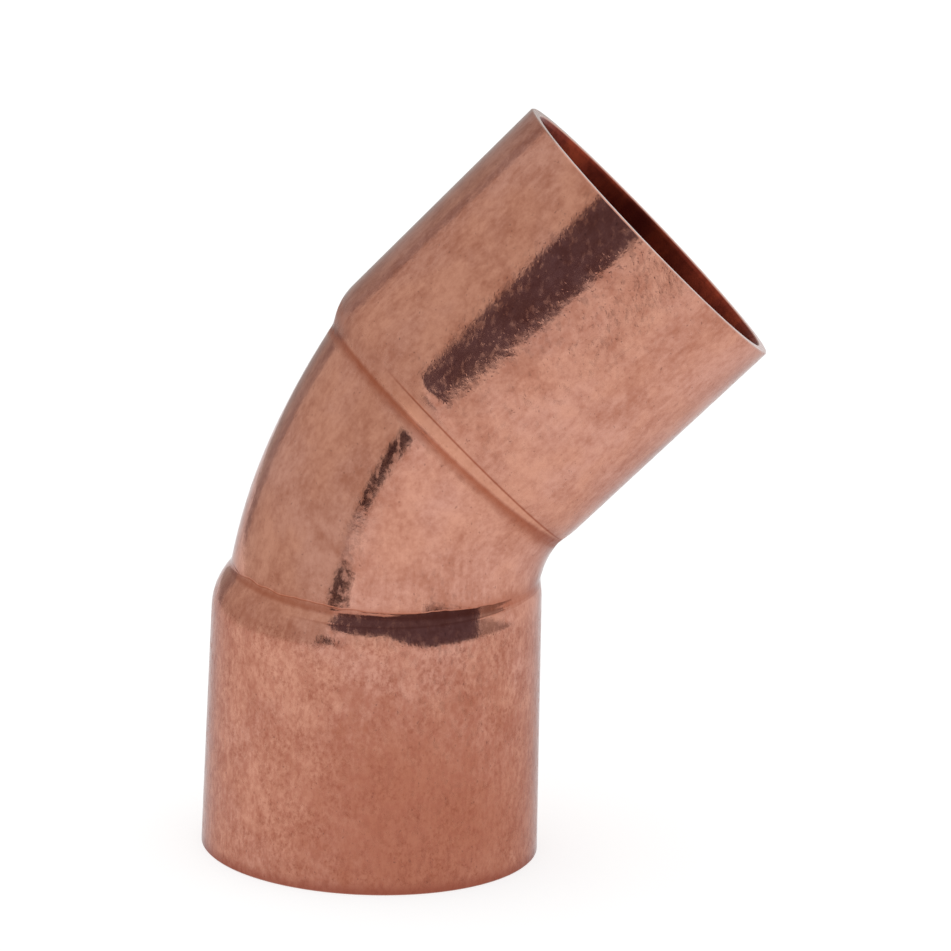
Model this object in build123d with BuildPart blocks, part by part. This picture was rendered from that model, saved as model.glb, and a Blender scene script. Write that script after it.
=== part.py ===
from build123d import *
import math
import os

# Forty-five degree elbow for soldered copper tube, with a cup at both ends.
# Millimetres and degrees. The origin is the centre of the lower mouth, with the lower
# cup's axis up +Z and the bend towards +X. The elbow stands on its lower mouth.

# Bend angle, and how far each mouth is from the point where the two cup axes meet
bend_angle = 45.0
mouth_to_bend = 26.85

# Cups, which taper a little on the outside from the mouth to the shoulder
tube_diameter = 22.22
solder_gap = 0.08
mouth_wall = 0.86
cup_taper = 0.3
lead_in_depth = 0.4
lead_in_width = 0.1
rim_chamfer = 0.1

# Shoulders, where the cups narrow to the bend
shoulder_height = 20.2
shoulder_angle = 44.0
shoulder_round = 4.8
shoulder_length = 2.6

# Bend between the shoulders. The back is its long outer side and the throat its short
# inner side, and both reaches are measured along the mitre from where the axes meet.
bend_wall = 0.8
back_reach = 8.63
back_radius = 49.0
back_sweep = 14.0
throat_reach = 13.15
throat_radius = 7.0
section_count = 7

# Sizes that follow from the ones above
bore_radius = tube_diameter / 2 + solder_gap
mouth_radius = bore_radius + lead_in_width + mouth_wall
shoulder_radius = mouth_radius - cup_taper
shoulder_turn = math.radians(shoulder_angle)
shoulder_slope = math.tan(shoulder_turn)
shoulder_top = shoulder_height + shoulder_length
throat_sweep = bend_angle / 2

# Directions in the plane of the bend
upper_axis = Vector(0, 0, 1).rotate(Axis.Y, bend_angle)
upper_across = Vector(1, 0, 0).rotate(Axis.Y, bend_angle)
mitre = Vector(1, 0, 0).rotate(Axis.Y, bend_angle / 2)

# Each cup's frame has X across the cup and Y along its axis from the mouth inwards
bend_point = Vector(0, 0, mouth_to_bend)
upper_mouth = bend_point + upper_axis * mouth_to_bend
lower_frame = Plane(origin=(0, 0, 0), x_dir=(1, 0, 0), z_dir=(0, -1, 0))
upper_frame = Plane(origin=upper_mouth, x_dir=upper_across, z_dir=(0, 1, 0))
cup_frames = (lower_frame, upper_frame)

# Centres of the two guide arcs that the bend's sections span
back_centre = bend_point + mitre * (back_radius - back_reach)
throat_centre = bend_point + mitre * (throat_radius + throat_reach)


def shoulder_cone(height, inset):
    """Radius of the shoulder's cone at a height above the mouth, moved in by inset."""
    inset_across = inset / math.cos(shoulder_turn)
    return shoulder_radius - inset_across - (height - shoulder_height) * shoulder_slope


def guide_point(centre, radius, angle):
    """Point on a guide arc at an angle from the mitre."""
    return centre - mitre.rotate(Axis.Y, angle) * radius


def bend_section(share, inset):
    """Plane and radius of the bend's round section at a share of its sweep, moved in by inset."""
    back_point = guide_point(back_centre, back_radius - inset, share * back_sweep)
    throat_point = guide_point(throat_centre, throat_radius + inset, share * throat_sweep)
    across = throat_point - back_point
    along = across.cross(Vector(0, -1, 0))
    return Plane(origin=(back_point + throat_point) / 2, x_dir=across, z_dir=along), across.length / 2


# Shares of the sweep, from -1 inside the lower cup to 1 inside the upper one
section_shares = [2 * index / (section_count - 1) - 1 for index in range(section_count)]

with BuildPart() as elbow_body:
    # Outside of each cup: a slightly tapered wall, then the rounded shoulder
    for frame in cup_frames:
        with BuildSketch(frame):
            with BuildLine():
                mouth_edge = (mouth_radius, 0)
                shoulder_corner = (shoulder_radius, shoulder_height)
                shoulder_tip = (shoulder_cone(shoulder_top, 0), shoulder_top)
                FilletPolyline(mouth_edge, shoulder_corner, shoulder_tip, radius=shoulder_round)
                Polyline(shoulder_tip, (0, shoulder_top), (0, 0), mouth_edge)
            make_face()
        revolve(axis=Axis(frame.origin, frame.y_dir))

    # Outside of the bend, lofted through round sections from cup to cup
    for share in section_shares:
        section_plane, section_radius = bend_section(share, 0)
        with BuildSketch(section_plane):
            Circle(section_radius)
    loft()

    # Passage through the bend, with straight walls from section to section
    for share in section_shares:
        section_plane, section_radius = bend_section(share, bend_wall)
        with BuildSketch(section_plane):
            Circle(section_radius)
    loft(ruled=True, mode=Mode.SUBTRACT)

    # Bore of each cup: a short lead-in, the tube's seat, and a stop that follows the shoulder
    stop_inset = bore_radius - shoulder_cone(shoulder_height, bend_wall)
    stop_height = shoulder_height - stop_inset / shoulder_slope
    stop_round = shoulder_round - bend_wall
    stop_bevel = stop_round * (math.tan(shoulder_turn / 2) - math.tan(shoulder_turn / 4))
    bevel_radius = bore_radius - stop_bevel * math.sin(shoulder_turn)
    bevel_height = stop_height + stop_bevel * math.cos(shoulder_turn)
    for frame in cup_frames:
        with BuildSketch(frame):
            with BuildLine():
                Polyline(
                    (0, 0),
                    (bore_radius + lead_in_width, 0),
                    (bore_radius, lead_in_depth),
                    (bore_radius, stop_height - stop_bevel),
                    (bevel_radius, bevel_height),
                    (shoulder_cone(shoulder_top, bend_wall), shoulder_top),
                    (0, shoulder_top),
                    close=True,
                )
            make_face()
        revolve(axis=Axis(frame.origin, frame.y_dir), mode=Mode.SUBTRACT)

    # Broken edges of both rims
    for frame in cup_frames:
        rim = elbow_body.faces().filter_by(GeomType.PLANE).sort_by_distance(frame.origin)[0]
        chamfer(rim.edges(), rim_chamfer)

os.makedirs("parts", exist_ok=True)
elbow_body.part.label = "elbow_body"
export_step(elbow_body.part, "parts/elbow_body.step")
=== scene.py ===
import math
from typing import NamedTuple

import bpy
import numpy as np
from mathutils import Matrix, Vector


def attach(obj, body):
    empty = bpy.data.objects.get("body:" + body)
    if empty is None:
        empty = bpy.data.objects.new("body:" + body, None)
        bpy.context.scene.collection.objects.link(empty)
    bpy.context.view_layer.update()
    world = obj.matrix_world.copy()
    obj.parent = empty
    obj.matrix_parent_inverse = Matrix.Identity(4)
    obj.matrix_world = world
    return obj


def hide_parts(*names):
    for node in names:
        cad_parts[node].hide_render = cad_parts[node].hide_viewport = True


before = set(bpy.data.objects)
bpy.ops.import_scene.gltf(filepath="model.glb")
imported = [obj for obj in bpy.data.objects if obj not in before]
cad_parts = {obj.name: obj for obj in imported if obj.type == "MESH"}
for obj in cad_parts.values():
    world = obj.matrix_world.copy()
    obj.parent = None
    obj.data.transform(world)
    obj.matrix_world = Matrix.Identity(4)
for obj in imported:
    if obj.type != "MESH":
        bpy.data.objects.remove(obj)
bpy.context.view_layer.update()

MM = 0.001

# Elbow, in the frame of the CAD: the lower cup stands on its mouth at the origin, and
# the bend turns towards +X. Both halves have the same form, mirrored at the mitre.
HALF_BEND = math.radians(22.5)
MOUTH_TO_BEND = 26.83 * MM
MOUTH_RADIUS = 12.15 * MM
CUP_TAPER = 0.306 * MM
SHOULDER_HEIGHT = 20.41 * MM
SHOULDER_ANGLE = math.radians(47.8)
SHOULDER_ROUND = 4.65 * MM
BORE_RADIUS = 11.19 * MM
STOP_HEIGHT = 19.9 * MM
STOP_ROUND = 3.9 * MM
LEAD_IN_DEPTH = 0.4 * MM
LEAD_IN_WIDTH = 0.1 * MM
RIM_CHAMFER = 0.1 * MM

# Bend: its back is the long outer side and its throat the short inner side
BEND_WALL = 0.8 * MM
BACK_REACH = 8.625 * MM
BACK_RADIUS = 54.4 * MM
BACK_SWEEP = math.radians(14.0)
DENT_SWEEP = math.radians(11.3)
THROAT_REACH = 13.134 * MM
THROAT_RADIUS = 6.6 * MM
THROAT_SWEEP = math.radians(20.0)
ROOT_BLEND = 0.25 * MM

# Where the root starts to lean along a cup, and over what height it comes to its full lean
LEAN_START = 10.0 * MM
LEAN_RISE = 6.0 * MM

# Reach of the flare and the groove beside a root, and how much of the band between root and
# groove is gone at the throat
FLARE_REACH = 2.4 * MM
GROOVE_REACH = 1.4 * MM
BAND_LOSS = 0.97
FAR_FROM_ROOT = 20 * MM

# Mesh density: columns go round the elbow, and rings crowd towards the roots
COLUMNS = 288
CUP_RINGS = 70
BEND_RINGS = 60
INNER_CUP_RINGS = 22
INNER_BEND_RINGS = 16
CUP_CROWDING = 2.2
BEND_CROWDING = 1.6
SHARP_ANGLE = math.radians(32)

# Tracing the surface: stations along each half, the height where they start to turn from
# level to the bend's, and the steps that find the cup's wall, the first ones by scaling
DENSE_STATIONS = 260
TURNING_STATIONS = DENSE_STATIONS // 4
LEVEL_HEIGHT = 16 * MM
WALL_STEPS = 8
SCALING_STEPS = 2

# Colours of the copper, and of the painted shade, highlight and dark reflection on it
PALE_PINK = (0.635, 0.325, 0.250)
PALE_ORANGE = (0.635, 0.310, 0.220)
DEEP_COPPER = (0.42, 0.165, 0.108)
# Warmer patina of the lower cup, also painted dark reflection low on its front
WARM_STAIN_AND_DARK_REFLECTION = (0.40, 0.140, 0.085)
RED_SPECK = (0.27, 0.072, 0.040)
RED_GRAIN = (0.36, 0.115, 0.075)
EDGE_REFLECTION = (0.72, 0.70, 0.71)
# Red stain and painted dark reflection along the lower cup's foot
FOOT_RED_AND_DARK_REFLECTION = (0.27, 0.070, 0.045)
DARK_PIT = (0.10, 0.035, 0.030)
# Painted shade in the roots, along the groove and in the wrinkles
CREASE_SHADE = (0.32, 0.080, 0.036)
# Painted highlight on the band between root and groove
BAND_HIGHLIGHT = (0.70, 0.33, 0.21)
INSIDE_RED = (0.150, 0.023, 0.014)
INSIDE_ORANGE = (0.29, 0.050, 0.022)
CUT_RIM = (0.66, 0.40, 0.33)

# Sizes of the marks, in millimetres as the noises take them
HUE_SIZE = 6.0
CLOUD_SIZE = 4.5
STAIN_AND_REFLECTION_EDGE_SIZE = 3.0
INSIDE_CLOUD_SIZE = 3.0
WAVER_SIZE = 2.6
SPECK_ZONE_SIZE = 2.0
PATCH_SIZE = 1.5
RIPPLE_SIZE = 1.1
MOTTLE_SIZE = 0.45
GRAIN_SIZE = 0.42
DULL_SPOT_SIZE = 0.42
STREAK_SIZE = 0.4
SPECK_SIZE = 0.30
FROST_SIZE = 0.30
GLINT_SIZE = 0.22
PIT_SIZE = 0.21
FINE_RELIEF_SIZE = 0.15
# Centre and reach of the lower cup's patina and painted dark reflection
STAIN_AND_REFLECTION_CENTRE = (2.0, -12.0, 4.5)
STAIN_AND_REFLECTION_NEAR = 7.0
STAIN_AND_REFLECTION_FAR = 20.0
FOOT_LOW = 0.1
FOOT_HIGH = 1.1

# Widths of what lies along a root, from the root towards the cup where positive
CUP_FINISH_START = 0.8 * MM
CUP_FINISH_FULL = 2.5 * MM
CREASE_START = -0.85 * MM
CREASE_FULL = -0.05 * MM
CREASE_END = 0.3 * MM
BAND_START = 0.05 * MM
BAND_FULL = 0.3 * MM
BAND_FADE = 0.15 * MM
GROOVE_LINE = 0.13 * MM
WRINKLE_LINE = 0.10 * MM
WRINKLE_PLACE = -0.42 * MM
WRINKLE_WAVER = 0.7 * MM
ROOT_TURN_WIDTH = 0.6 * MM
ROOT_TURN_PLACE = -0.5 * MM
GROOVE_TURN_WIDTH = 1.4 * MM
GROOVE_TURN_PLACE = -0.25 * MM

# Finish: the roughness of clean metal, what each mark adds to it, and the depth of the relief
CLEAN_ROUGHNESS = 0.075
FROSTED_ROUGHNESS = 0.06
PATCH_ROUGHNESS = 0.07
INSIDE_ROUGHNESS = 0.22
TURN_ROUGHNESS = 0.28
SPOT_ROUGHNESS = 0.13
RELIEF_DEPTH = 0.013 * MM

# Floor, in metres, and light, where 1 shows as white
FLOOR_HALF_WIDTH = 3.0
FLOOR_GREY = 0.5
FLOOR_GLOW = 0.68
SOFT_LIGHT_GREY = 0.8

# Cards round the elbow that only reflections show. Each has its brightness and its corners,
# from the left: azimuth in degrees from the front, distance from the lower cup's axis, and
# lowest and highest height, in millimetres. They give the elbow the photograph's dark shapes.
CARDS = {
    "room_dark": ((0.15, 0.125, 0.16), (
        (-50, 150, 150, 260),
        (-47, 150, 126, 260),
        (-44.5, 150, 114, 260),
        (-42.5, 150, 98, 260),
        (-40.5, 150, 86, 260),
        (-22, 150, 74, 260),
        (-14, 150, 66, 260),
        (-7, 150, 74, 260),
        (-4, 150, 66, 260),
        (0, 150, 55, 260),
        (6, 150, 38, 260),
        (10, 150, 29, 260),
        (13, 150, 22, 260),
        (16, 150, 14, 260),
        (20, 148, 5, 260),
        (24, 140, 0.5, 250),
        (30, 138, 0.5, 245),
        (40, 128, 0.5, 230),
        (50, 118, 0.5, 210),
        (62, 112, 0.5, 200),
    )),
    "strip_dark": ((0.045, 0.025, 0.04), (
        (-57, 149, 56, 74),
        (-54, 149, 50, 72),
        (-52, 149, 46, 70),
        (-50, 149, 42.5, 68),
        (-48.3, 149, 39.8, 65),
        (-46, 149, 37.8, 61),
        (-44, 149, 36.3, 56),
        (-40.8, 149, 34.4, 50),
        (-39, 149, 33.2, 46),
        (-37.4, 149, 32, 41),
    )),
    "foot_dark": ((0.05, 0.03, 0.04), (
        (-47.5, 60, 19.2, 19.4),
        (-46.7, 60, 19.2, 20.2),
        (-42.7, 60, 19.2, 25),
        (-37.7, 60, 19.2, 23),
        (-32, 60, 19.2, 20.6),
    )),
    "strip_dim": ((0.53, 0.47, 0.47), ((-51.5, 151, 0.5, 47), (-44.5, 151, 0.5, 42))),
    "left_dim": ((0.80, 0.77, 0.73), ((-143, 155, 0.5, 260), (-45, 155, 15, 260))),
    "side_dim": ((0.52, 0.48, 0.48), ((-153, 155, 0.5, 260), (-143, 155, 0.5, 260))),
    "back_dim": ((0.62, 0.59, 0.56), ((-200, 155, 8, 260), (-153, 155, 8, 260))),
    "throat_dim": ((0.48, 0.44, 0.44), ((63, 112, 0.5, 42), (75, 100, 0.5, 24), (92, 88, 0.5, 3))),
}

# Camera, at the photograph's viewing angle
PHOTO_WIDTH = 951
SENSOR_WIDTH = 36.0
CAMERA_AZIMUTH = math.radians(-9.409)
CAMERA_ELEVATION = math.radians(16.429)
CAMERA_ROLL = math.radians(1.89)
CAMERA_DISTANCE = 900.0 * MM
CAMERA_TARGET = Vector((6.915, 0.0, 27.657)) * MM
FOCAL_PIXELS = 12517.0
NEAREST_SEEN = 10 * MM
FARTHEST_SEEN = 20.0


class Half(NamedTuple):
    """Small irregularities of one half of this elbow: how far its root leans along the cup,
    how much lower the root lies at the sides, how far the back is pressed in beside the
    shoulder, how far the bend flares beside the root, and the widest band between the root
    and the shallow groove on the shoulder, with the groove's depth."""

    lean: float
    dip: float
    dent: float
    flare: float
    band: float
    groove: float

    def smooth(self):
        """The same half from inside, where neither flare nor groove shows."""
        return self._replace(flare=0.0, groove=0.0)


LOWER = Half(lean=0.709 * MM, dip=0.42 * MM, dent=0.369 * MM, flare=0.03 * MM, band=0.85 * MM, groove=0.0)
UPPER = Half(lean=0.265 * MM, dip=0.0, dent=-0.013 * MM, flare=0.03 * MM, band=1.35 * MM, groove=0.04 * MM)


def rounded_radius(height, start_radius, taper, corner_height, angle, rounding):
    """Radius of a wall that tapers to a rounded corner and turns in at an angle there."""
    lean = math.atan(taper / corner_height)
    reach = rounding * math.tan((angle - lean) / 2)
    corner_radius = start_radius - taper
    round_start = corner_height - reach * math.cos(lean)
    round_end = corner_height + reach * math.cos(angle)
    start = start_radius - math.tan(lean) * round_start
    centre_radius = start - rounding * math.cos(lean)
    centre_height = round_start - rounding * math.sin(lean)
    arc = centre_radius + np.sqrt(np.maximum(rounding ** 2 - (height - centre_height) ** 2, 0))
    end_radius = corner_radius - reach * math.sin(angle)
    cone = end_radius - (height - round_end) * math.tan(angle)
    wall = start_radius - math.tan(lean) * height
    return np.where(height < round_start, wall, np.where(height < round_end, arc, cone))


def outside_radius(height):
    """Radius of a cup's outside at a height above its mouth."""
    corner = (SHOULDER_HEIGHT, SHOULDER_ANGLE, SHOULDER_ROUND)
    return rounded_radius(height, MOUTH_RADIUS, CUP_TAPER, *corner)


def inside_radius(height):
    """Radius of a cup's bore, and of the stop above it, at a height above its mouth."""
    corner = (STOP_HEIGHT, SHOULDER_ANGLE, STOP_ROUND)
    return rounded_radius(height, BORE_RADIUS, 0.0, *corner)


def bend_guides(dent, inset):
    """Points of the back and the throat from inside the cup to the mitre, in the bend's plane."""
    inward = np.array((math.cos(HALF_BEND), -math.sin(HALF_BEND)))
    onward = np.array((math.sin(HALF_BEND), math.cos(HALF_BEND)))
    meeting = np.array((0.0, MOUTH_TO_BEND))
    share = np.linspace(1.0, 0.0, DENSE_STATIONS)[:, None]

    def outwards(sweep):
        return -inward * np.cos(share * sweep) - onward * np.sin(share * sweep)

    pressed = dent * np.minimum(share * BACK_SWEEP / DENT_SWEEP, 1.0) ** 2
    back_centre = meeting + inward * (BACK_RADIUS - BACK_REACH)
    throat_centre = meeting + inward * (THROAT_RADIUS + THROAT_REACH)
    back = back_centre + (BACK_RADIUS - inset - pressed) * outwards(BACK_SWEEP)
    throat = throat_centre + (THROAT_RADIUS + inset) * outwards(THROAT_SWEEP)
    return back, throat


def column_angles():
    """Angle of each column round the elbow, from the throat side."""
    return np.linspace(0, 2 * math.pi, COLUMNS, endpoint=False)


def band_width(widest):
    """Width of the band between root and groove in each column, from the throat round."""
    towards_throat = (1 + np.cos(column_angles())) / 2
    return widest * (1 - BAND_LOSS * towards_throat ** 2)


def stations(dent, start_height, inset):
    """Middle, radius and spoke directions of the sections, from the mouth to the mitre."""
    back, throat = bend_guides(dent, inset)
    cup_heights = np.linspace(start_height, LEVEL_HEIGHT, DENSE_STATIONS)
    reach = np.full(DENSE_STATIONS, MOUTH_RADIUS)
    cup_back = np.stack((-reach, cup_heights), axis=1)
    cup_throat = np.stack((reach, cup_heights), axis=1)
    share = np.linspace(0, 1, TURNING_STATIONS)[1:-1, None]
    turning_back = cup_back[-1] * (1 - share) + back[0] * share
    turning_throat = cup_throat[-1] * (1 - share) + throat[0] * share
    outer = np.vstack((cup_back, turning_back, back))
    inner = np.vstack((cup_throat, turning_throat, throat))
    centre = (outer + inner) / 2
    spoke = (inner - outer) / 2
    radius = np.hypot(spoke[:, 0], spoke[:, 1])[:, None]
    across = spoke / radius
    angle = column_angles()
    outward = np.stack((
        across[:, :1] * np.cos(angle),
        np.sin(angle) + 0 * across[:, :1],
        across[:, 1:] * np.cos(angle),
    ), axis=-1)
    middle = np.stack((centre[:, 0], 0 * centre[:, 0], centre[:, 1]), axis=-1)[:, None]
    return middle, radius, outward


def reach_of_cup(cup_radius, middle, outward, half):
    """How far the cup's wall is from the middle of each section, along each spoke."""
    to_cup = np.full(outward.shape[:2], MOUTH_RADIUS)
    for step in range(WALL_STEPS):
        point = middle + to_cup[..., None] * outward
        radius = np.hypot(point[..., 0], point[..., 1])
        rise = np.clip((point[..., 2] - LEAN_START) / LEAN_RISE, 0, 1)
        side = point[..., 1] / radius
        shift = half.dip * side ** 2 - half.lean * point[..., 0] / radius
        wanted = cup_radius(point[..., 2] + rise * shift)
        to_cup = to_cup * wanted / radius if step < SCALING_STEPS else to_cup + wanted - radius
    return to_cup


def root_place(excess, length):
    """Distance along one column where the cup's wall sinks below the bend's."""
    before = np.nonzero(excess > 0)[0][-1]
    after = min(before + 1, len(length) - 1)
    fall = excess[before] - excess[after]
    share = excess[before] / fall if fall > 0 else 0.0
    return length[before] + share * (length[after] - length[before])


def relief_beside_root(half, width, beside):
    """Height of the flare, the band and the groove at distances beside the root."""
    flare_rise = half.flare * np.clip(1 + beside / FLARE_REACH, 0, 1) ** 2
    band_fall = half.flare - (half.flare + half.groove) * beside / width
    groove_end = -half.groove * np.clip(1 - (beside - width) / GROOVE_REACH, 0, 1) ** 2
    return np.select((beside < 0, beside < width), (flare_rise, band_fall), groove_end)


def half_shell(cup_radius, start_height, half, inset, cup_rings, bend_rings):
    """Points of half the shell, ring by ring from the mouth to the mitre, in the lower cup's
    frame, and how far along the surface each is from the root, where the cup meets the bend."""
    middle, section_radius, outward = stations(half.dent, start_height, inset)
    to_cup = reach_of_cup(cup_radius, middle, outward, half)
    in_bend = (np.arange(len(middle)) >= len(middle) - DENSE_STATIONS)[:, None]
    to_bend = np.where(in_bend, section_radius, 0.0) + 0 * to_cup
    excess = to_cup - to_bend
    soft = np.maximum(ROOT_BLEND - np.abs(excess), 0) ** 2 / (4 * ROOT_BLEND)
    dense = middle + (np.maximum(to_cup, to_bend) + soft)[..., None] * outward

    widths = band_width(half.band)
    side_share = np.sin(column_angles()) ** 2
    cup_share = np.linspace(0, 1, cup_rings + 1)[:-1]
    bend_share = np.linspace(0, 1, bend_rings + 1)
    rings = np.zeros((cup_rings + bend_rings + 1, COLUMNS, 3))
    root_distance = np.zeros(rings.shape[:2])
    for column in range(COLUMNS):
        path = dense[:, column]
        steps = np.linalg.norm(np.diff(path, axis=0), axis=1)
        length = np.concatenate(([0.0], np.cumsum(steps)))
        root = root_place(excess[:, column], length)
        lift = relief_beside_root(half, widths[column], root - length) * side_share[column]
        path = path + lift[:, None] * outward[:, column]
        spread = np.concatenate((
            root * (1 - (1 - cup_share) ** CUP_CROWDING),
            root + (length[-1] - root) * bend_share ** BEND_CROWDING,
        ))
        for axis in range(3):
            rings[:, column, axis] = np.interp(spread, length, path[:, axis])
        root_distance[:, column] = root - spread
    return rings, root_distance


def mirrored(points):
    """Points of the lower half moved to the upper half, through the mitre's plane."""
    onward = np.array((math.sin(HALF_BEND), 0.0, math.cos(HALF_BEND)))
    depth = (points - np.array((0.0, 0.0, MOUTH_TO_BEND))) @ onward
    return points - 2 * depth[..., None] * onward


def rim_rings():
    """Rings of the cut rim, from the bore round to the outside."""
    angle = column_angles()
    lip = BORE_RADIUS + LEAD_IN_WIDTH
    steps = (
        (lip, RIM_CHAMFER),
        (lip + RIM_CHAMFER, 0.0),
        (MOUTH_RADIUS - RIM_CHAMFER, 0.0),
    )
    return [
        np.stack((radius * np.cos(angle), radius * np.sin(angle), np.full(COLUMNS, height)), axis=-1)
        for radius, height in steps
    ]


def shell_rings():
    """Points of the closed shell, ring by ring from the lower mouth outside to the upper one
    and back inside, and the values that the material reads at each."""
    outside = (0.0, CUP_RINGS, BEND_RINGS)
    inside = (BEND_WALL, INNER_CUP_RINGS, INNER_BEND_RINGS)
    low_out, low_root = half_shell(outside_radius, RIM_CHAMFER, LOWER, *outside)
    up_out, up_root = half_shell(outside_radius, RIM_CHAMFER, UPPER, *outside)
    low_in, low_in_root = half_shell(inside_radius, LEAD_IN_DEPTH, LOWER.smooth(), *inside)
    up_in, up_in_root = half_shell(inside_radius, LEAD_IN_DEPTH, UPPER.smooth(), *inside)
    rim = rim_rings()
    far = [np.full(COLUMNS, FAR_FROM_ROOT)] * len(rim)
    parts = (
        # rings, distance from the root, in the upper half, inside, cut rim
        (rim, far, 0, (1, 0, 0), (0, 1, 1)),
        (low_out[:-1], low_root[:-1], 0, 0, 0),
        ([(low_out[-1] + mirrored(up_out[-1])) / 2], low_root[-1:], 0.5, 0, 0),
        (mirrored(up_out[:-1])[::-1], up_root[:-1][::-1], 1, 0, 0),
        ([mirrored(ring) for ring in rim[::-1]], far, 1, (0, 0, 1), (1, 1, 0)),
        (mirrored(up_in[:-1]), up_in_root[:-1], 1, 1, 0),
        ([(low_in[-1] + mirrored(up_in[-1])) / 2], low_in_root[-1:], 0.5, 1, 0),
        (low_in[:-1][::-1], low_in_root[:-1][::-1], 0, 1, 0),
    )
    points = np.array([ring for part in parts for ring in part[0]])
    values = {"root_distance": np.array([row for part in parts for row in part[1]])}
    for place, name in ((2, "upper_half"), (3, "inside"), (4, "rim")):
        rows = [np.broadcast_to(np.array(part[place], dtype=float), len(part[0])) for part in parts]
        values[name] = np.concatenate(rows)[:, None] * np.ones(COLUMNS)
    from_mitre_up = values["upper_half"] >= 0.5
    widths = np.where(from_mitre_up, band_width(UPPER.band), band_width(LOWER.band))
    values["groove_distance"] = values["root_distance"] - widths
    values["towards_throat"] = np.ones((len(points), 1)) * np.cos(column_angles())
    return points, values


def build_shell():
    """The elbow as one closed mesh, with the values and places that its material reads."""
    points, values = shell_rings()
    above_mitre = values["upper_half"][..., None] > 0.5
    cup_place = np.where(above_mitre, mirrored(points), points)
    faces = []
    for ring in range(len(points)):
        after = (ring + 1) % len(points)
        for column in range(COLUMNS):
            beside = (column + 1) % COLUMNS
            faces.append((
                ring * COLUMNS + column,
                ring * COLUMNS + beside,
                after * COLUMNS + beside,
                after * COLUMNS + column,
            ))
    mesh = bpy.data.meshes.new("elbow_shell")
    mesh.from_pydata(points.reshape(-1, 3).tolist(), [], faces)
    mesh.shade_smooth()
    mesh.set_sharp_from_angle(angle=SHARP_ANGLE)
    for name, value in values.items():
        attribute = mesh.attributes.new(name, "FLOAT", "POINT")
        attribute.data.foreach_set("value", value.astype(np.float32).reshape(-1))
    attribute = mesh.attributes.new("cup_place", "FLOAT_VECTOR", "POINT")
    attribute.data.foreach_set("vector", cup_place.astype(np.float32).reshape(-1))
    piece = bpy.data.objects.new("elbow_shell", mesh)
    bpy.context.collection.objects.link(piece)
    return piece


class Paint:
    """Small steps for making a material's nodes. Lengths in the noises are in millimetres."""

    def __init__(self, name):
        self.material = bpy.data.materials.new(name)
        self.material.use_nodes = True
        self.nodes = self.material.node_tree.nodes
        self.links = self.material.node_tree.links
        self.shader = self.nodes["Principled BSDF"]

    def connect(self, value, socket):
        """Give a socket another socket's value, or a plain one."""
        if isinstance(value, bpy.types.NodeSocket):
            self.links.new(value, socket)
        else:
            socket.default_value = value

    def place(self, stretch=(1, 1, 1)):
        """Position on the object, in millimetres, shrunk along an axis where stretch is small."""
        coordinates = self.nodes.new("ShaderNodeTexCoord")
        return self.scaled(coordinates.outputs["Object"], stretch)

    def cup_place(self, stretch=(1, 1, 1)):
        """Position in the frame of the nearer cup, whose axis is Z."""
        attribute = self.nodes.new("ShaderNodeAttribute")
        attribute.attribute_name = "cup_place"
        return self.scaled(attribute.outputs["Vector"], stretch)

    def scaled(self, vector, stretch):
        """A position in metres turned into millimetres, with each axis stretched."""
        node = self.nodes.new("ShaderNodeVectorMath")
        node.operation = "MULTIPLY"
        self.links.new(vector, node.inputs[0])
        node.inputs[1].default_value = [share / MM for share in stretch]
        return node.outputs[0]

    def value(self, name):
        """One of the values that the mesh carries."""
        attribute = self.nodes.new("ShaderNodeAttribute")
        attribute.attribute_name = name
        return attribute.outputs["Fac"]

    def noise(self, place, size, detail=2.0, roughness=0.5, distortion=0.0):
        """Grey noise with features about size millimetres across."""
        node = self.nodes.new("ShaderNodeTexNoise")
        self.links.new(place, node.inputs["Vector"])
        node.inputs["Scale"].default_value = 1 / size
        node.inputs["Detail"].default_value = detail
        node.inputs["Roughness"].default_value = roughness
        node.inputs["Distortion"].default_value = distortion
        return node.outputs["Fac"]

    def math(self, operation, first, second=0.0):
        """One Math node."""
        node = self.nodes.new("ShaderNodeMath")
        node.operation = operation
        self.connect(first, node.inputs[0])
        self.connect(second, node.inputs[1])
        return node.outputs[0]

    def product(self, first, *others):
        """All the values multiplied."""
        for value in others:
            first = self.math("MULTIPLY", first, value)
        return first

    def total(self, *terms):
        """Sum of values, each with its weight."""
        result = 0.0
        for value, weight in terms:
            result = self.math("ADD", result, self.math("MULTIPLY", value, weight))
        return result

    def remap(self, value, low, high, to_low=0.0, to_high=1.0):
        """Smooth step from to_low where value is low to to_high where it is high."""
        node = self.nodes.new("ShaderNodeMapRange")
        node.interpolation_type = "SMOOTHSTEP"
        self.connect(value, node.inputs["Value"])
        node.inputs["From Min"].default_value = low
        node.inputs["From Max"].default_value = high
        self.connect(to_low, node.inputs["To Min"])
        self.connect(to_high, node.inputs["To Max"])
        return node.outputs["Result"]

    def between(self, share, at_none, at_full):
        """Value that goes smoothly from one to the other as a share grows from 0 to 1."""
        return self.remap(share, 0.0, 1.0, at_none, at_full)

    def line(self, distance, half_width, place=0.0):
        """One on a line, falling to nothing at half_width from it."""
        offset = self.math("ABSOLUTE", self.math("SUBTRACT", distance, place))
        return self.remap(offset, 0.0, half_width, 1.0, 0.0)

    def mix(self, share, first, second):
        """First colour, with a share of the second one over it."""
        node = self.nodes.new("ShaderNodeMix")
        node.data_type = "RGBA"
        self.connect(share, node.inputs["Factor"])
        for value, socket in ((first, node.inputs[6]), (second, node.inputs[7])):
            self.connect(value if isinstance(value, bpy.types.NodeSocket) else (*value, 1.0), socket)
        return node.outputs[2]


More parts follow.
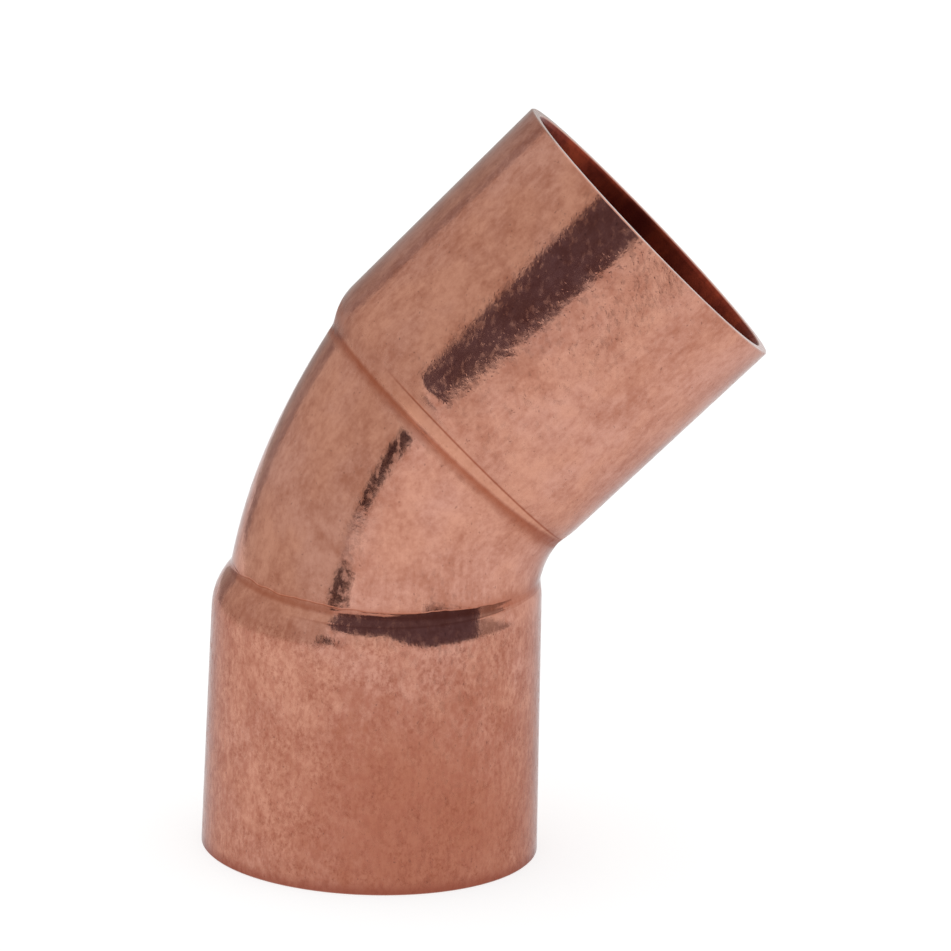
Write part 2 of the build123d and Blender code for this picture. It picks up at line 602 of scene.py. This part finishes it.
class Zones:
    """Where on the elbow the copper's marks lie, as values from 0 to 1 and distances."""

    def __init__(self, paint):
        self.place = paint.place()
        self.patches = paint.noise(self.place, PATCH_SIZE, 4.0, 0.6)
        self.inside = paint.value("inside")
        self.outside = paint.math("SUBTRACT", 1.0, self.inside)
        self.upper = paint.value("upper_half")
        self.lower = paint.math("SUBTRACT", 1.0, self.upper)
        self.root = paint.value("root_distance")
        self.groove = paint.value("groove_distance")
        self.throat = paint.value("towards_throat")
        self.on_cup = paint.remap(self.root, CUP_FINISH_START, CUP_FINISH_FULL)
        self.lower_cup = paint.product(self.lower, self.on_cup, self.outside)
        self.front = paint.remap(self.throat, -0.85, -0.5)

        # The groove's own line, and the wavering wrinkles beside the lower root, both with painted shade
        groove_line = paint.line(self.groove, GROOVE_LINE)
        groove_depth = paint.between(self.lower, 1.0, 0.35)
        self.groove_line = paint.product(groove_line, self.front, self.outside, groove_depth)
        waver = paint.noise(self.place, WAVER_SIZE, 2.0)
        shift = paint.total((waver, WRINKLE_WAVER), (1.0, -WRINKLE_WAVER / 2))
        wrinkle_line = paint.line(paint.math("ADD", self.root, shift), WRINKLE_LINE, WRINKLE_PLACE)
        wrinkle_depth = paint.remap(self.throat, -0.6, 0.8, 1.0, 0.15)
        self.wrinkles = paint.product(wrinkle_line, self.lower, self.outside, wrinkle_depth)


def cloud_colour(paint, zones):
    """Clouds over everything, from deep copper to pale pink and orange."""
    clouds = paint.noise(zones.place, CLOUD_SIZE, 4.0, 0.62, 0.4)
    mottle = paint.noise(zones.place, MOTTLE_SIZE, 3.0, 0.65)
    streaks = paint.noise(paint.cup_place((1, 1, 0.22)), STREAK_SIZE, 3.0, 0.6)
    tone = paint.total((clouds, 0.36), (zones.patches, 0.28), (mottle, 0.22), (streaks, 0.14))
    hue = paint.remap(paint.noise(zones.place, HUE_SIZE, 3.0, 0.6), 0.38, 0.60)
    pale = paint.mix(hue, PALE_PINK, PALE_ORANGE)
    return paint.mix(paint.remap(tone, 0.34, 0.62), DEEP_COPPER, pale)


def stain_and_reflection_share(paint, place):
    """Warmer patina and painted dark reflection on the lower cup, strongest low on its front and right."""
    away = paint.nodes.new("ShaderNodeVectorMath")
    away.operation = "DISTANCE"
    paint.links.new(place, away.inputs[0])
    away.inputs[1].default_value = STAIN_AND_REFLECTION_CENTRE
    ragged = paint.noise(place, STAIN_AND_REFLECTION_EDGE_SIZE, 4.0, 0.6)
    distance = paint.total((away.outputs["Value"], 1.0), (ragged, 9.0))
    return paint.remap(distance, STAIN_AND_REFLECTION_NEAR, STAIN_AND_REFLECTION_FAR, 0.85, 0.1)


def with_marks(paint, zones, colour):
    """The lower cup's patina and painted dark reflection and its red grain, and specks and pits all over.
    """
    # Patina and painted dark reflection, strongest low on the lower cup's front
    stain_and_reflection = paint.product(zones.lower_cup, stain_and_reflection_share(paint, zones.place))
    colour = paint.mix(stain_and_reflection, colour, WARM_STAIN_AND_DARK_REFLECTION)
    grain = paint.noise(paint.cup_place((1, 1, 0.55)), GRAIN_SIZE, 3.0, 0.6)
    grain_share = paint.product(paint.remap(grain, 0.42, 0.64), zones.lower_cup, 0.42)
    colour = paint.mix(grain_share, colour, RED_GRAIN)
    specks = paint.noise(paint.place((1, 1, 0.8)), SPECK_SIZE, 5.0, 0.75)
    speck_zone = paint.remap(paint.noise(zones.place, SPECK_ZONE_SIZE, 3.0, 0.6), 0.36, 0.62, 0.15, 1.0)
    speck_depth = paint.between(zones.lower_cup, 0.12, 0.62)
    speck_share = paint.product(paint.remap(specks, 0.42, 0.70), speck_zone, speck_depth)
    colour = paint.mix(speck_share, colour, RED_SPECK)
    pits = paint.remap(paint.noise(paint.place((1, 1, 0.7)), PIT_SIZE, 1.0), 0.71, 0.77)
    return paint.mix(paint.math("MULTIPLY", pits, 0.4), colour, DARK_PIT)


def with_creases(paint, zones, colour):
    """Painted shade in each root, groove and wrinkle, and a painted highlight on the band beside the root.
    """
    # Painted shade along the crease of each root
    crease_root = paint.math("MULTIPLY", zones.root, paint.remap(zones.throat, -0.1, 0.9, 1.0, 0.5))
    crease_shade = paint.product(
        paint.remap(crease_root, CREASE_START, CREASE_FULL),
        paint.remap(zones.root, CREASE_FULL, CREASE_END, 1.0, 0.0),
        paint.between(zones.lower, 0.75, 0.55),
    )
    # Painted highlight on the band between the root and the groove
    band_highlight = paint.product(
        paint.remap(zones.root, BAND_START, BAND_FULL),
        paint.remap(zones.groove, -BAND_FADE, 0.0, 1.0, 0.0),
        zones.front,
        zones.outside,
        paint.between(zones.lower, 0.4, 0.2),
    )
    colour = paint.mix(band_highlight, colour, BAND_HIGHLIGHT)
    # Painted shade: the crease in each root, then the groove line and the wrinkles
    colour = paint.mix(crease_shade, colour, CREASE_SHADE)
    colour = paint.mix(paint.math("MULTIPLY", zones.groove_line, 0.8), colour, CREASE_SHADE)
    return paint.mix(paint.math("MULTIPLY", zones.wrinkles, 0.6), colour, CREASE_SHADE)


def with_ends(paint, zones, colour):
    """Red stain and painted dark reflection at the lower cup's foot, the dark red inside, the freshly cut
    rims.
    """
    height = paint.nodes.new("ShaderNodeSeparateXYZ")
    paint.links.new(zones.place, height.inputs[0])
    # Red stain and painted dark reflection along the foot, fading upwards
    foot_stain_and_reflection = paint.remap(height.outputs["Z"], FOOT_LOW, FOOT_HIGH, 0.7, 0.0)
    colour = paint.mix(paint.product(foot_stain_and_reflection, zones.outside), colour, FOOT_RED_AND_DARK_REFLECTION)
    inside_noise = paint.noise(paint.cup_place((1, 1, 0.3)), INSIDE_CLOUD_SIZE, 4.0, 0.6)
    inside_colour = paint.mix(paint.remap(inside_noise, 0.40, 0.68), INSIDE_RED, INSIDE_ORANGE)
    colour = paint.mix(zones.inside, colour, inside_colour)
    return paint.mix(paint.math("MULTIPLY", paint.value("rim"), 0.9), colour, CUT_RIM)


def copper_roughness(paint, zones, frosting):
    """Duller where it is frosted, in small spots, inside, and where the wall turns sharply
    beside the upper root and groove."""
    beside_root = paint.line(zones.root, ROOT_TURN_WIDTH, ROOT_TURN_PLACE)
    beside_groove = paint.line(zones.groove, GROOVE_TURN_WIDTH, GROOVE_TURN_PLACE)
    turning = paint.product(paint.math("MAXIMUM", beside_root, beside_groove), zones.upper, zones.outside)
    spots = paint.remap(paint.noise(paint.place((1, 1, 0.6)), DULL_SPOT_SIZE, 2.0), 0.50, 0.68)
    return paint.total(
        (1.0, CLEAN_ROUGHNESS),
        (frosting, FROSTED_ROUGHNESS),
        (zones.patches, PATCH_ROUGHNESS),
        (zones.inside, INSIDE_ROUGHNESS),
        (turning, TURN_ROUGHNESS),
        (spots, SPOT_ROUGHNESS),
    )


def copper_relief(paint, zones, frosting):
    """Height of the fine relief: frost, ripples and glints, with the groove and wrinkles cut in."""
    frost = paint.noise(paint.place((1, 1, 0.4)), FROST_SIZE, 2.0, 0.55)
    frost_depth = paint.between(frosting, 0.22, 1.0)
    glints = paint.remap(paint.noise(paint.place((1, 1, 0.6)), GLINT_SIZE, 1.0), 0.60, 0.76)
    return paint.total(
        (paint.math("MULTIPLY", frost, frost_depth), 1.0),
        (paint.noise(zones.place, FINE_RELIEF_SIZE, 2.0), 0.15),
        (paint.noise(zones.place, RIPPLE_SIZE, 2.0), 1.2),
        (paint.product(glints, zones.on_cup), 0.25),
        (zones.groove_line, -0.9),
        (zones.wrinkles, -0.9),
    )


def copper_material():
    """Bare drawn copper, bright and frosted in places, with clouds, specks, stains, painted shade and
    highlight.
    """
    paint = Paint("bare_copper")
    zones = Zones(paint)
    colour = with_marks(paint, zones, cloud_colour(paint, zones))
    colour = with_ends(paint, zones, with_creases(paint, zones, colour))
    paint.links.new(colour, paint.shader.inputs["Base Color"])
    paint.shader.inputs["Metallic"].default_value = 1.0
    paint.shader.inputs["Specular Tint"].default_value = (*EDGE_REFLECTION, 1.0)

    # Frosted: the side of the upper cup towards the throat, and the whole lower cup
    upper_side = paint.product(paint.remap(zones.throat, -0.35, 0.0), zones.upper, zones.on_cup)
    frosting = paint.math("MAXIMUM", upper_side, zones.lower_cup)
    paint.links.new(copper_roughness(paint, zones, frosting), paint.shader.inputs["Roughness"])
    bump = paint.nodes.new("ShaderNodeBump")
    bump.inputs["Distance"].default_value = RELIEF_DEPTH
    paint.links.new(copper_relief(paint, zones, frosting), bump.inputs["Height"])
    paint.links.new(bump.outputs["Normal"], paint.shader.inputs["Normal"])
    return paint.material


def shown_ray(nodes, links):
    """One for rays from the camera, and for those that metal or glass reflects or passes."""
    path = nodes.new("ShaderNodeLightPath")
    shown = path.outputs["Is Camera Ray"]
    for name in ("Is Glossy Ray", "Is Transmission Ray"):
        either = nodes.new("ShaderNodeMath")
        either.operation = "MAXIMUM"
        links.new(shown, either.inputs[0])
        links.new(path.outputs[name], either.inputs[1])
        shown = either.outputs[0]
    return shown


def bare_material(name):
    """A material with nothing but an output, and that output's surface."""
    material = bpy.data.materials.new(name)
    material.use_nodes = True
    nodes = material.node_tree.nodes
    nodes.clear()
    out = nodes.new("ShaderNodeOutputMaterial")
    return material, out.inputs["Surface"]


def mesh_object(name, points, faces, material):
    """An object from points and faces, in one material."""
    mesh = bpy.data.meshes.new(name)
    mesh.from_pydata(points, [], faces)
    mesh.materials.append(material)
    made = bpy.data.objects.new(name, mesh)
    bpy.context.collection.objects.link(made)
    return made


def lay_floor():
    """Pale matt floor that also glows to camera and reflections, so that it shows nearly white."""
    material, surface = bare_material("floor")
    nodes, links = material.node_tree.nodes, material.node_tree.links
    diffuse = nodes.new("ShaderNodeBsdfDiffuse")
    diffuse.inputs["Color"].default_value = (FLOOR_GREY, FLOOR_GREY, FLOOR_GREY, 1)
    dark = nodes.new("ShaderNodeEmission")
    dark.inputs["Strength"].default_value = 0.0
    glow = nodes.new("ShaderNodeEmission")
    glow.inputs["Strength"].default_value = FLOOR_GLOW
    shown_glow = nodes.new("ShaderNodeMixShader")
    links.new(shown_ray(nodes, links), shown_glow.inputs["Fac"])
    links.new(dark.outputs[0], shown_glow.inputs[1])
    links.new(glow.outputs[0], shown_glow.inputs[2])
    both = nodes.new("ShaderNodeAddShader")
    links.new(diffuse.outputs[0], both.inputs[0])
    links.new(shown_glow.outputs[0], both.inputs[1])
    links.new(both.outputs[0], surface)
    side = FLOOR_HALF_WIDTH
    corners = ((-side, -side, 0), (side, -side, 0), (side, side, 0), (-side, side, 0))
    floor = mesh_object("floor", corners, [(0, 1, 2, 3)], material)


def card(name, brightness, outline):
    """An upright card round the elbow that only reflections show, through its outline's corners."""
    material, surface = bare_material(name)
    glow = material.node_tree.nodes.new("ShaderNodeEmission")
    glow.inputs["Color"].default_value = (*brightness, 1)
    material.node_tree.links.new(glow.outputs[0], surface)
    points = []
    for azimuth, distance, low, high in outline:
        turn = math.radians(azimuth)
        for height in (low, high):
            points.append(Vector((distance * math.sin(turn), -distance * math.cos(turn), height)) * MM)
    faces = [(2 * i, 2 * i + 2, 2 * i + 3, 2 * i + 1) for i in range(len(outline) - 1)]
    piece = mesh_object(name, points, faces, material)
    piece.visible_camera = False
    piece.visible_diffuse = False
    piece.visible_shadow = False


def light_world():
    """White where it is seen or reflected, and a soft grey light for everything else."""
    world = bpy.data.worlds.new("studio")
    bpy.context.scene.world = world
    world.use_nodes = True
    nodes, links = world.node_tree.nodes, world.node_tree.links
    nodes.clear()
    out = nodes.new("ShaderNodeOutputWorld")
    white = nodes.new("ShaderNodeBackground")
    white.inputs["Color"].default_value = (1, 1, 1, 1)
    soft = nodes.new("ShaderNodeBackground")
    soft.inputs["Color"].default_value = (SOFT_LIGHT_GREY, SOFT_LIGHT_GREY, SOFT_LIGHT_GREY, 1)
    mix = nodes.new("ShaderNodeMixShader")
    links.new(shown_ray(nodes, links), mix.inputs["Fac"])
    links.new(soft.outputs[0], mix.inputs[1])
    links.new(white.outputs[0], mix.inputs[2])
    links.new(mix.outputs[0], out.inputs["Surface"])


def place_camera():
    """The camera, turned a little about its line of sight as in the photograph."""
    level = math.cos(CAMERA_ELEVATION)
    back = Vector((
        math.sin(CAMERA_AZIMUTH) * level,
        -math.cos(CAMERA_AZIMUTH) * level,
        math.sin(CAMERA_ELEVATION),
    ))
    right = Vector((0, 0, 1)).cross(back).normalized()
    up = back.cross(right)
    turned_right = right * math.cos(CAMERA_ROLL) + up * math.sin(CAMERA_ROLL)
    turned_up = up * math.cos(CAMERA_ROLL) - right * math.sin(CAMERA_ROLL)
    data = bpy.data.cameras.new("camera")
    data.sensor_width = SENSOR_WIDTH
    data.lens = FOCAL_PIXELS * SENSOR_WIDTH / PHOTO_WIDTH
    data.clip_start = NEAREST_SEEN
    data.clip_end = FARTHEST_SEEN
    camera = bpy.data.objects.new("camera", data)
    bpy.context.collection.objects.link(camera)
    turn = Matrix((turned_right, turned_up, back)).transposed().to_4x4()
    camera.matrix_world = Matrix.Translation(CAMERA_TARGET + back * CAMERA_DISTANCE) @ turn
    bpy.context.scene.camera = camera


shell = build_shell()
shell.data.materials.append(copper_material())
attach(shell, "root")
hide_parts("elbow_body")

lay_floor()
for name, (brightness, outline) in CARDS.items():
    card(name, brightness, outline)
light_world()
place_camera()
bpy.context.scene.view_settings.view_transform = "Standard"
